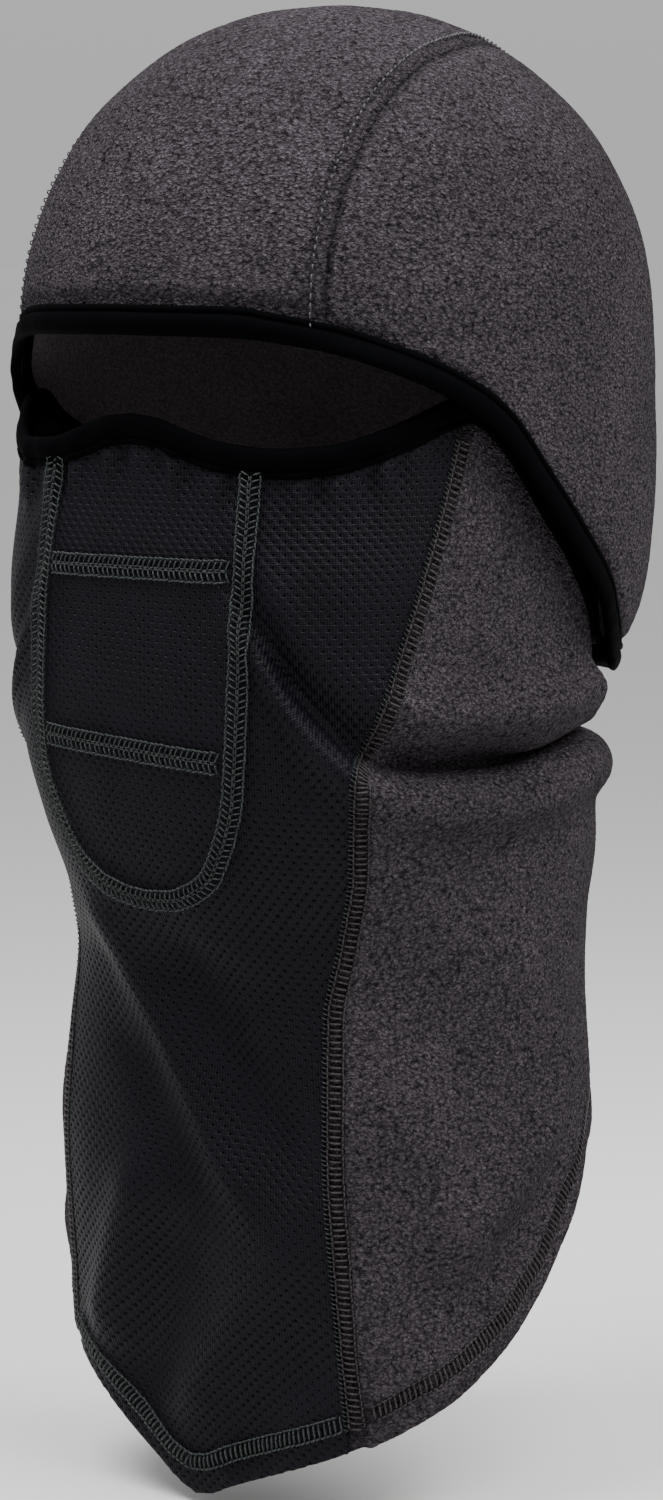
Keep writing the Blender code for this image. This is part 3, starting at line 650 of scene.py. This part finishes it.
# ---- perforated knit ----
def knit_sheet(name, keep, rows, columns, surface):
    """Perforated knit: staggered cells, each with a small dark pit, wherever keep says so."""
    row, column = np.meshgrid(np.arange(*rows), np.arange(*columns), indexing="ij")
    twice, row = (2 * column + row % 2).ravel(), row.ravel()
    kept = keep(*knit_place(twice * HOLE_PITCH / 2, row * HOLE_ROW))
    twice, row = twice[kept], row[kept]
    across = twice[:, None] + np.array([-1, 0, 1, 1, 0, -1])
    up = row[:, None] + np.array([0, 0, 0, 1, 1, 1])
    corners, outer = np.unique(np.stack([across, up], -1).reshape(-1, 2), axis=0, return_inverse=True)
    outer = outer.reshape(-1, 6)
    turn = np.radians(np.array([-150, -90, -30, 30, 90, 150]))
    size = HOLE_SIZE * (1 + 0.15 * rng.uniform(-1, 1, (len(twice), 1)))
    pit_x = [twice[:, None] * HOLE_PITCH / 2 + part * size * np.cos(turn) for part in (1.0, 0.8)]
    pit_y = [row[:, None] * HOLE_ROW + part * size * 0.9 * np.sin(turn) for part in (1.0, 0.8)]
    x = np.concatenate([corners[:, 0] * HOLE_PITCH / 2, pit_x[0].ravel(), pit_x[1].ravel()])
    y = np.concatenate([(corners[:, 1] - 0.5) * HOLE_ROW, pit_y[0].ravel(), pit_y[1].ravel()])
    lip = len(corners) + np.arange(len(twice) * 6).reshape(-1, 6)
    floor = lip + lip.size
    after = np.roll(np.arange(6), -1)
    top = np.concatenate([
        np.stack([outer, outer[:, after], lip[:, after], lip], -1).reshape(-1, 4),
        np.stack([lip, lip[:, after], floor[:, after], floor], -1).reshape(-1, 4),
        floor[:, [0, 1, 2, 3]], floor[:, [0, 3, 4, 5]],
    ])
    angle, height = knit_place(x, y)
    past = np.abs(angle) - curve(SIDE_SEAM, height)
    angle = angle - np.sign(angle) * 0.9 * np.maximum(past - SEAM_ALLOWANCE, 0.0)
    tuck = -TUCK_DEPTH * smooth(past + 0.2)
    points = surface(angle, height, tuck)
    turned, raised = surface(angle + 0.3, height, tuck), surface(angle, height + 0.0006, tuck)
    normal = unit(np.cross(turned - points, raised - points))
    depth = np.zeros(len(points))
    depth[lip] = LIP_DEPTH
    depth[floor] = PIT_DEPTH
    first = len(top)
    back = len(points) + outer
    bottom = np.concatenate([back[:, [5, 4, 1, 0]], back[:, [4, 3, 2, 1]]])
    rim = rim_edges(top)
    rim = np.stack([rim[:, 1], rim[:, 0], rim[:, 0] + len(points), rim[:, 1] + len(points)], -1)
    inner = points[:len(corners)] - normal[:len(corners)] * KNIT
    faces = np.concatenate([top, bottom, rim])
    inside = np.zeros(len(faces), bool)
    inside[6 * len(twice) * 2:first + len(bottom)] = True
    chart = np.stack([x, y], -1)
    return make_piece(name, np.concatenate([points - normal * depth[:, None], inner]), faces,
                      [knit, knit_inside_painted_light], np.concatenate([chart, chart[:len(corners)]]), None, inside)


def knit_place(x, y):
    """The angle and height of a point of the flat knit."""
    wide = curve(((-0.25, 0.067), (-0.14, 0.076), (-0.075, 0.083), (-0.03, 0.096), (0.1, 0.098)), y)
    return np.degrees(x / wide), y


def hemmed(roll):
    """The lower surface, with its edge turned in and up inside by a hem of that radius."""
    def surface(angle, height, out=0.0):
        edge = curve(HEM, np.abs(angle))
        past = np.maximum(edge - height, 0.0)
        bend = np.minimum(past / roll, math.pi)
        inside = np.maximum(past - math.pi * roll, 0.0)
        low = np.where(past > 0, edge - roll * np.sin(bend) + inside, height)
        return lower_surface(angle, low, out - roll * (1 - np.cos(bend)))
    return surface


def in_patch(angle, height):
    """Positive inside the U of the mouth patch, in metres from its edge, and negative outside."""
    keys = np.where(angle < 0, curve(PATCH_RIGHT, height), curve(PATCH_LEFT, height))
    slope = np.where(angle < 0, curve(PATCH_RIGHT, height + 0.001), curve(PATCH_LEFT, height + 0.001))
    slope = (slope - keys) * ARC / 0.001
    side = (keys - np.abs(angle)) * ARC / np.sqrt(1 + slope * slope)
    return np.where(height < CHIN_TIP, -np.hypot(angle * ARC, height - CHIN_TIP), side)


def front_region(angle, height):
    seam = curve(SIDE_SEAM, height)
    low = curve(HEM, np.abs(angle)) - HEM_FOLD
    high = mask_edge(angle) - EDGE_INSET
    return (np.abs(angle) < seam + SEAM_ALLOWANCE) & (height > low) & (height < high)


# ---- the pieces ----
def settle(piece, slot, body, *replaced):
    """Puts a hood piece on the hood's body with a mesh of its own, bakes any other piece into place, and
    hides the CAD parts it replaces. The slot is not used.
    """
    if body == "hood":
        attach(piece, body)
        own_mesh(piece)
    else:
        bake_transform(piece)
    if replaced:
        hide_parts(*replaced)
    return piece


def hood_cap(over, off, out=0.0):
    return hood_along(seam_direction(over, off), out)


def hood_angle_over(angle, height):
    """The angle over the head, from the brow, of a point low on the hood."""
    far = form_radius(HOOD_FORM, angle, height)
    over = np.degrees(np.arctan2(height - EQUATOR_HEIGHT, far * np.cos(np.radians(angle))))
    return np.where(over < -20, over + 360, over)


def between_rays(first, second, columns):
    """Directions that turn evenly from one line of directions to another."""
    first, second = unit(first), unit(second)
    share = np.linspace(0, 1, columns)[None, :, None]
    apart = np.arccos(np.clip((first * second).sum(-1), -1, 1))[:, None, None]
    return np.sin((1 - share) * apart) * first[:, None] + np.sin(share * apart) * second[:, None]


def press(distance, reach=0.0035):
    """1 on a seam, falling to 0 at a distance from it."""
    return np.exp(-((distance / reach) ** 2))


def held(distance):
    """1 where the tape on a free edge holds the fabric down, falling to 0 past the tape, where the
    fleece also gets painted shade.
    """
    return 0.9 * smooth((0.0125 - distance) / 0.0050)


def hood_pieces():
    detail = 1.0
    long, wide = int(420 * detail), int(112 * detail)
    inset = hood_edge(np.linspace(-180, 180, 361)) + 0.002
    keys = np.stack([np.linspace(-180, 180, 361), inset], -1)
    share = np.linspace(0, 1, long)
    side = np.linspace(-1, 1, wide)[None, :]
    front = HOOD_SEAM[0][1] * side
    back = np.where(side < 0, -180, 180) - (180 - HOOD_SEAM_NAPE) * side
    start = hood_angle_over(front, curve(keys, front))
    end = hood_angle_over(back, curve(keys, back))
    over = start + (end - start) * share[:, None]
    points = hood_cap(over, side * curve(HOOD_SEAM, over))
    along, across = grid_chart(points)
    seam_gap = np.minimum(across, across[:, -1:] - across)
    sewn = np.maximum(press(seam_gap, SEAM_PRESS), 0.75 * press(seam_gap - TOPSTITCH_OFF, 0.0012))
    press_and_shade = np.maximum(sewn, held(np.minimum(along, along[-1:] - along)))
    made = [fleece_sheet("hood_center", points, press_and_shade, 1, 3)]
    settle(made[0], "fleece", "hood", "hood_center_panel")
    middle = np.array([0.0, 0.0, NAPE_Z + EQUATOR_HEIGHT])
    edge_angle = curve(((0, HOOD_SEAM[0][1]), (0.5, 96), (1, HOOD_SEAM_NAPE)), share)
    for name, sign in (("left", 1), ("right", -1)):
        seam_over = over[:, -1 if sign > 0 else 0]
        top = hood_cap(seam_over, sign * curve(HOOD_SEAM, seam_over))
        low = hood_surface(sign * edge_angle, curve(keys, sign * edge_angle))
        points = hood_along(between_rays(top - middle, low - middle, int(118 * detail)))
        gap = grid_chart(points)[1]
        press_and_shade = np.maximum(press(gap, SEAM_PRESS), held(gap[:, -1:] - gap))
        piece = fleece_sheet(f"hood_{name}_side", points, press_and_shade, 0, 5 + sign)
        settle(piece, "fleece", "hood", f"hood_{name}_panel")
        line = Line(hood_cap, seam_over[2:-2], sign * curve(HOOD_SEAM, seam_over[2:-2]), (0.25, 0.25))
        thread_row = running(f"hood_{name}_topstitch", line, hood_thread, 0.0026,
                             sign * TOPSTITCH_OFF, 0.0006, 0.00026)
        settle(thread_row, "fleece_thread", "hood", f"hood_{name}_seam_stitch")
        made += [piece, thread_row]
    angle = np.linspace(-180, 180, 721)
    line = Line(hood_surface, angle, hood_edge(angle))
    edge = tape("hood_edge_tape", line, BINDING_WIDTH, HOOD_TAPE, -0.0004, binding, ring=True)
    settle(edge, "binding", "hood", "hood_binding")
    return made + [edge]


def front_pieces():
    rows, columns = (-140, 52), (-36, 37)
    regions = {
        "face_knit": (lambda a, h: (in_patch(a, h) <= 0), ("mask_front_panel", "neck_front_panel",
                                                           "front_hem_fold")),
        "nose_knit": (lambda a, h: (in_patch(a, h) > 0) & (h > UPPER_CROSS_SEAM), ("nose_panel",)),
        "mouth_knit": (lambda a, h: (in_patch(a, h) > 0) & (h <= UPPER_CROSS_SEAM)
                       & (h > LOWER_CROSS_SEAM), ("mouth_panel",)),
        "chin_knit": (lambda a, h: (in_patch(a, h) > 0) & (h <= LOWER_CROSS_SEAM), ("chin_panel",)),
    }
    made = []
    for name, (inside, nodes) in regions.items():
        piece = knit_sheet(name, lambda a, h: front_region(a, h) & inside(a, h), rows, columns,
                           hemmed(KNIT_HEM_ROLL))
        made.append(settle(piece, "mesh_fabric", "mask", *nodes))
    return made


def side_pieces():
    detail = 1.0
    share = np.linspace(0, 1, int(330 * detail))
    across = np.linspace(0, 1, int(200 * detail))[:, None]
    made = []
    for name, sign in (("left", 1), ("right", -1)):
        angles = 40 + 140 * across + 0 * share
        for _ in range(14):
            low = curve(HEM, angles) - HEM_FOLD
            heights = low + (mask_edge(sign * angles) - EDGE_INSET - low) * share
            seam = curve(SIDE_SEAM, heights[0]) - 0.1
            angles = seam + (180 - seam) * across
        points = hemmed(FLEECE_HEM_ROLL)(sign * angles, heights)
        gap = grid_chart(points)[0]
        press_and_shade = np.maximum(smooth((0.0068 - gap) / 0.0022), press(gap[-1:] - gap, 0.003))
        hem_gap = heights - curve(HEM, angles) - HEM_STITCH_RISE
        press_and_shade = np.maximum(press_and_shade, 0.85 * smooth((0.0034 - np.abs(hem_gap)) / 0.0014))
        press_and_shade = np.maximum(press_and_shade, held(mask_edge(sign * angles) - heights))
        piece = fleece_sheet(f"{name}_side_fleece", points, press_and_shade, 0, 21 + sign)
        settle(piece, "fleece", "neck", f"mask_{name}_cheek", f"neck_{name}_panel",
               f"{name}_hem_fold")
        made.append(piece)
    return made


def patch_line():
    """The U round the mouth patch, from its top on the wearer's right to its top on the left."""
    sweep = 1 - (1 - np.linspace(0, 1, 160)) ** 1.6
    legs = []
    for side, sign in ((PATCH_RIGHT, -1), (PATCH_LEFT, 1)):
        top = mask_edge(sign * side[-1][1]) - BINDING_WIDTH * 0.6
        height = top + (CHIN_TIP - top) * sweep
        legs.append((sign * curve(side, height), height))
    right, left = legs
    return (np.concatenate([right[0], left[0][-2::-1]]), np.concatenate([right[1], left[1][-2::-1]]))


def lower_trim():
    made = []
    angle = np.linspace(178, -178, 713)
    turned = Line(lower_surface, angle, mask_edge(angle))
    taper = 1 - 0.32 * smooth((np.abs(angle) - 50) / 12) * (angle < 0)
    taper = np.minimum(taper, 1 - 0.48 * smooth((np.abs(angle) - 104) / 20))
    edge = tape("mask_edge_tape", turned, BINDING_WIDTH * taper, MASK_TAPE, 0.0, binding)
    made.append(settle(edge, "binding", "mask", "mask_binding"))
    seam = flatlock("patch_edge_flatlock", Line(lower_surface, *patch_line()), thread)
    made.append(settle(seam, "thread", "mask", "patch_edge_stitch"))
    for name, level in (("upper", UPPER_CROSS_SEAM), ("lower", LOWER_CROSS_SEAM)):
        inset = FLATLOCK_WIDTH / 2 / ARC
        ends = (-curve(PATCH_RIGHT, level) + inset, curve(PATCH_LEFT, level) - inset)
        angle = np.linspace(*ends, 60)
        seam = flatlock(f"{name}_cross_flatlock", Line(lower_surface, angle, level + 0 * angle), thread)
        made.append(settle(seam, "thread", "mask", f"{name}_cross_stitch"))
    for name, sign in (("left", 1), ("right", -1)):
        height = np.linspace(0.077, float(curve(HEM, 43)) + 0.004, 420)
        line = Line(lower_surface, sign * curve(SIDE_SEAM, height), height)
        seam = ladder(f"{name}_side_seam", line, fleece_thread, 0.0044, 0.0018, sign * 0.0028, -0.0008)
        made.append(settle(seam, "fleece_thread", "mask", f"mask_{name}_seam_stitch",
                           f"neck_{name}_seam_stitch"))
        seam = ticks(f"{name}_seam_ticks", line, thread, sign)
        made.append(settle(seam, "thread", "mask"))
    height = np.linspace(-0.002, -0.114, 160)
    seam = ladder("back_seam", Line(lower_surface, 180 + 0 * height, height), fleece_thread)
    made.append(settle(seam, "fleece_thread", "neck", "neck_back_seam_stitch"))
    spans = {"front": (-41, 41, thread, "thread", 0.0), "left": (46, 179, fleece_thread,
             "fleece_thread", -0.0010), "right": (-179, -46, fleece_thread, "fleece_thread", -0.0010)}
    for name, (start, end, sewing, slot, lift) in spans.items():
        angle = np.linspace(start, end, 300)
        line = Line(lower_surface, angle, curve(HEM, np.abs(angle)) + HEM_STITCH_RISE)
        seam = ladder(f"{name}_hem_coverstitch", line, sewing, 0.0046, 0.0017, 0.0, lift, 0.0011)
        made.append(settle(seam, slot, "neck", f"{name}_hem_stitch"))
    made.append(nape_strip())
    return made


def nape_strip():
    """The tape that joins the hood to the neck behind the collar."""
    turn, rise = np.meshgrid(np.linspace(*NAPE_TAPE_TURN, 80), np.linspace(0, 1, 12), indexing="ij")
    low, high = NAPE_TAPE_RISE
    height = low + (high - low) * rise
    buried = lower_surface(turn, height, -0.0012)
    under = hood_surface(turn, height, -0.0037)
    share = smooth(rise * 1.7)[..., None]
    points = buried + (under - buried) * share
    normal = grid_normals(points)
    faces = facing(points.reshape(-1, 3), grid_faces(*points.shape[:2]), normal.reshape(-1, 3))
    inner = (points - normal * NAPE_TAPE).reshape(-1, 3)
    skin, faces, _ = thick(points.reshape(-1, 3), inner, faces)
    chart = np.stack(grid_chart(points), -1).reshape(-1, 2)
    strip = make_piece("nape_tape_strip", skin, faces, [binding], np.concatenate([chart, chart]))
    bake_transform(strip)
    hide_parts("nape_tape")
    return strip


# ---- materials ----
def node(tree, kind, values=None, **settings):
    made = tree.nodes.new("ShaderNode" + kind)
    for key, value in settings.items():
        setattr(made, key, value)
    for key, value in (values or {}).items():
        if isinstance(value, bpy.types.NodeSocket):
            tree.links.new(value, made.inputs[key])
        else:
            made.inputs[key].default_value = value
    return made


def material_of(name, roughness, specular, sheen=0.0):
    material = bpy.data.materials.new(name)
    material.use_nodes = True
    shader = material.node_tree.nodes["Principled BSDF"]
    shader.inputs["Roughness"].default_value = roughness
    shader.inputs["Specular IOR Level"].default_value = specular
    shader.inputs["Sheen Weight"].default_value = sheen
    shader.inputs["Sheen Roughness"].default_value = 0.45
    return material, material.node_tree, shader


def ramp(tree, factor, stops):
    made = node(tree, "ValToRGB", {"Fac": factor})
    band = made.color_ramp
    while len(band.elements) < len(stops):
        band.elements.new(0.5)
    for element, (place, colour) in zip(band.elements, stops):
        element.position = place
        element.color = (*colour, 1.0)
    return made.outputs["Color"]


def bump(tree, shader, height, distance):
    made = node(tree, "Bump", {"Height": height, "Distance": distance, "Strength": 1.0})
    tree.links.new(made.outputs["Normal"], shader.inputs["Normal"])


def maths(tree, operation, *values):
    return node(tree, "Math", dict(enumerate(values)), operation=operation).outputs[0]


def scaled(tree, vector, factor):
    return node(tree, "VectorMath", {0: vector, 3: factor}, operation="SCALE").outputs[0]


def fleece_material(name, valley_shade, crest, depth=0.0030):
    """Curly pile: soft grains of about 1.4 by 1 mm with fine curls over them. Its colour darkens from
    crest to valley: partly the pile's own pattern, partly painted shade in the hollows.
    """
    material, tree, shader = material_of(name, 0.95, 0.04, 0.0)
    rest = node(tree, "Attribute", attribute_name="rest").outputs["Vector"]
    warp = node(tree, "TexNoise", {"Vector": rest, "Scale": 560.0, "Detail": 1.0})
    shift = node(tree, "VectorMath", {0: warp.outputs["Color"], 1: (0.5, 0.5, 0.5)},
                 operation="SUBTRACT").outputs[0]
    shift = scaled(tree, shift, 0.0013)
    bent = node(tree, "VectorMath", {0: rest, 1: shift}, operation="ADD").outputs[0]
    grain = node(tree, "Mapping", {"Vector": bent, "Scale": (1 / 0.0014, 1 / 0.0014, 1 / 0.0010)})
    cells = node(tree, "TexVoronoi", {"Vector": grain.outputs[0], "Scale": 1.0}, feature="F1")
    waves = node(tree, "TexNoise", {"Vector": grain.outputs[0], "Scale": 1.25, "Detail": 1.0})
    swing = maths(tree, "ABSOLUTE", maths(tree, "MULTIPLY_ADD", waves.outputs["Fac"], 6.0, -3.0))
    curl = maths(tree, "MAXIMUM", maths(tree, "SUBTRACT", 1.0, swing), 0.0)
    fibre = node(tree, "TexNoise", {"Vector": rest, "Scale": 2600.0, "Detail": 2.0})
    top = maths(tree, "MULTIPLY", maths(tree, "SUBTRACT", 1.0, cells.outputs["Distance"]), 0.62)
    body = maths(tree, "ADD", top, maths(tree, "MULTIPLY", curl, 0.26))
    height = maths(tree, "ADD", body, maths(tree, "MULTIPLY", fibre.outputs["Fac"], 0.14))
    # The mesh's nub heights lighten the nub tops and darken the gaps between them: painted shade.
    pile = node(tree, "Attribute", attribute_name="pile").outputs["Fac"]
    shade = maths(tree, "ADD", height, maths(tree, "MULTIPLY", pile, 0.03))
    middle = tuple(0.42 * c + 0.58 * v for c, v in zip(crest, valley_shade))
    # Dark valley colour where the pile is low, light crest colour where it is high: partly pattern,
    # partly painted shade in the hollows.
    colour = ramp(tree, shade, ((0.20, valley_shade), (0.52, middle), (0.80, crest)))
    drift = node(tree, "TexNoise", {"Vector": rest, "Scale": 28.0, "Detail": 2.0})
    level = node(tree, "MapRange", {"Value": drift.outputs["Fac"], "From Min": 0.3, "From Max": 0.7,
                                    "To Min": 0.88, "To Max": 1.12})
    colour = scaled(tree, colour, level.outputs[0])
    # Pressed fleece along seams, hem stitching and beside tapes is up to 40% darker: painted shade in
    # the grooves and under the tapes.
    press_and_shade = node(tree, "Attribute", attribute_name="press_and_shade").outputs["Fac"]
    lower = maths(tree, "SUBTRACT", 1.0, maths(tree, "MULTIPLY", press_and_shade, 0.40))
    tree.links.new(scaled(tree, colour, lower), shader.inputs["Base Color"])
    bump(tree, shader, height, depth)
    return material


def knit_material(name, base, rib):
    """Fine vertical ribs of knit, with a soft shine."""
    material, tree, shader = material_of(name, 0.40, 0.07)
    chart = node(tree, "UVMap", uv_map="grain").outputs["UV"]
    ribs = node(tree, "TexWave", {"Vector": chart, "Scale": 0.31 / 0.0008, "Distortion": 1.2,
                                  "Detail": 2.0, "Detail Scale": 3.0}, bands_direction="X")
    loops = node(tree, "TexWave", {"Vector": chart, "Scale": 0.31 / 0.0006, "Distortion": 1.5,
                                   "Detail": 1.0}, bands_direction="Y")
    weave = maths(tree, "ADD", maths(tree, "MULTIPLY", ribs.outputs["Fac"], 0.7),
                  maths(tree, "MULTIPLY", loops.outputs["Fac"], 0.3))
    drift = node(tree, "TexNoise", {"Vector": chart, "Scale": 45.0, "Detail": 3.0})
    mixed = maths(tree, "MULTIPLY_ADD", drift.outputs["Fac"], 0.5, weave)
    colour = ramp(tree, mixed, ((0.25, base), (1.1 / 1.5, rib), (1.0, rib)))
    tree.links.new(colour, shader.inputs["Base Color"])
    bump(tree, shader, weave, 0.00018)
    return material


def thread_material(name, dark, pale):
    """Twisted thread: pale highlights along dark strands."""
    material, tree, shader = material_of(name, 0.5, 0.2, 0.05)
    place = node(tree, "TexCoord").outputs["Object"]
    twist = node(tree, "TexNoise", {"Vector": place, "Scale": 1500.0, "Detail": 2.0})
    tree.links.new(ramp(tree, twist.outputs["Fac"], ((0.3, dark), (0.7, pale))),
                   shader.inputs["Base Color"])
    bump(tree, shader, twist.outputs["Fac"], 0.0001)
    return material


def binding_material():
    """Soft black tape with a fine rib along it."""
    material, tree, shader = material_of("binding", 0.70, 0.012)
    chart = node(tree, "UVMap", uv_map="grain").outputs["UV"]
    rib = node(tree, "TexWave", {"Vector": chart, "Scale": 0.31 / 0.0007, "Distortion": 0.8,
                                 "Detail": 2.0}, bands_direction="X")
    tree.links.new(ramp(tree, rib.outputs["Fac"], ((0.0, (0.0003, 0.0003, 0.0005)),
                                                   (1.0, (0.0010, 0.0011, 0.0016)))),
                   shader.inputs["Base Color"])
    bump(tree, shader, rib.outputs["Fac"], 0.00012)
    return material


# ---- camera, floor and light ----
CAMERA_TURN = (40, 6)
CAMERA_DISTANCE = 1.5
CAMERA_SHIFT = 0.00255
FLOOR_GAP = 0.004
FLOOR_REACH = 30.0
FLOOR_GREYS = ((0.3, (0.70, 0.70, 0.70)), (0.7, (0.74, 0.74, 0.74)))
WORLD_STRENGTH = 0.75
# Each lamp: its direction, distance, size and power.
LAMPS = {
    "key": ((-0.30, -0.75, 1.50), 0.88, 0.55, 13.0),
    "fill": ((1.0, -0.30, 1.25), 1.05, 0.7, 8.5),
    "rim": ((0.90, 0.70, 1.15), 1.15, 0.7, 13.0),
}


def add_camera():
    azimuth, elevation = (math.radians(turn) for turn in CAMERA_TURN)
    target = Vector((0.0, 0.0, NAPE_Z - 0.020))
    back = Vector((math.sin(azimuth) * math.cos(elevation), -math.cos(azimuth) * math.cos(elevation),
                   math.sin(elevation)))
    right = Vector((math.cos(azimuth), math.sin(azimuth), 0.0))
    camera = bpy.data.objects.new("camera", bpy.data.cameras.new("camera"))
    camera.data.lens = 120.0
    camera.data.sensor_width = 36.0
    camera.data.clip_end = 50.0
    camera.location = target + back * CAMERA_DISTANCE - right * CAMERA_SHIFT
    camera.rotation_euler = back.to_track_quat("Z", "Y").to_euler()
    bpy.context.scene.collection.objects.link(camera)
    bpy.context.scene.camera = camera


def add_light(name, direction, distance, size, power):
    data = bpy.data.lights.new(name, "AREA")
    data.shape = "DISK"
    data.size = size
    data.energy = power
    lamp = bpy.data.objects.new(name, data)
    away = Vector(direction).normalized()
    lamp.location = Vector((0.0, 0.0, NAPE_Z)) + away * distance
    lamp.rotation_euler = away.to_track_quat("Z", "Y").to_euler()
    bpy.context.scene.collection.objects.link(lamp)


def add_stage():
    material, tree, shader = material_of("floor", 0.9, 0.1)
    grain = node(tree, "TexNoise", {"Scale": 3.0, "Detail": 2.0})
    tree.links.new(ramp(tree, grain.outputs["Fac"], FLOOR_GREYS), shader.inputs["Base Color"])
    level = float(cad_bounds[0][2]) - FLOOR_GAP
    ends = (-FLOOR_REACH, FLOOR_REACH)
    corners = np.array([(x, y, level) for x in ends for y in ends])
    floor = make_piece("floor", corners, np.array([(0, 2, 3, 1)]), [material])
    world = bpy.data.worlds.new("studio")
    world.use_nodes = True
    sky = world.node_tree
    place = node(sky, "TexCoord").outputs["Generated"]
    up = node(sky, "SeparateXYZ", {0: place}).outputs["Z"]
    glow = node(sky, "MapRange", {"Value": up, "From Min": 0.02, "From Max": 0.5, "To Min": 0.70,
                                  "To Max": 1.0}).outputs[0]
    shade = node(sky, "CombineColor", {0: glow, 1: glow, 2: glow}).outputs[0]
    sky.links.new(shade, sky.nodes["Background"].inputs["Color"])
    sky.nodes["Background"].inputs["Strength"].default_value = WORLD_STRENGTH
    bpy.context.scene.world = world
    for name, lamp in LAMPS.items():
        add_light(name, *lamp)


rng = np.random.default_rng(11)
add_camera()
fleece = fleece_material("fleece", (0.0080, 0.0067, 0.0078), (0.086, 0.0740, 0.085))
# The inside fleece is several times lighter than the outside, to lift the shaded inside of the hood:
# painted light.
fleece_inside_painted_light = fleece_material("fleece_inside_painted_light", (0.150, 0.126, 0.134), (0.300, 0.256, 0.268), 0.0004)
knit = knit_material("knit", (0.0002, 0.0002, 0.0005), (0.0050, 0.0047, 0.0076))
# The inside of the knit is much lighter than its outside, so shaded insides seen through the openings
# don't go black: painted light.
knit_inside_painted_light = knit_material("knit_inside_painted_light", (0.012, 0.010, 0.011), (0.024, 0.021, 0.023))
thread = thread_material("thread", (0.004, 0.0052, 0.0052), (0.036, 0.044, 0.042))
fleece_thread = thread_material("fleece_thread", (0.0060, 0.0048, 0.0052), (0.040, 0.0330, 0.0350))
hood_thread = thread_material("hood_thread", (0.010, 0.0088, 0.0100), (0.095, 0.086, 0.096))
binding = binding_material()

hood_made = hood_pieces()
front_made = front_pieces()
side_made = side_pieces()
trim_made = lower_trim()
add_stage()
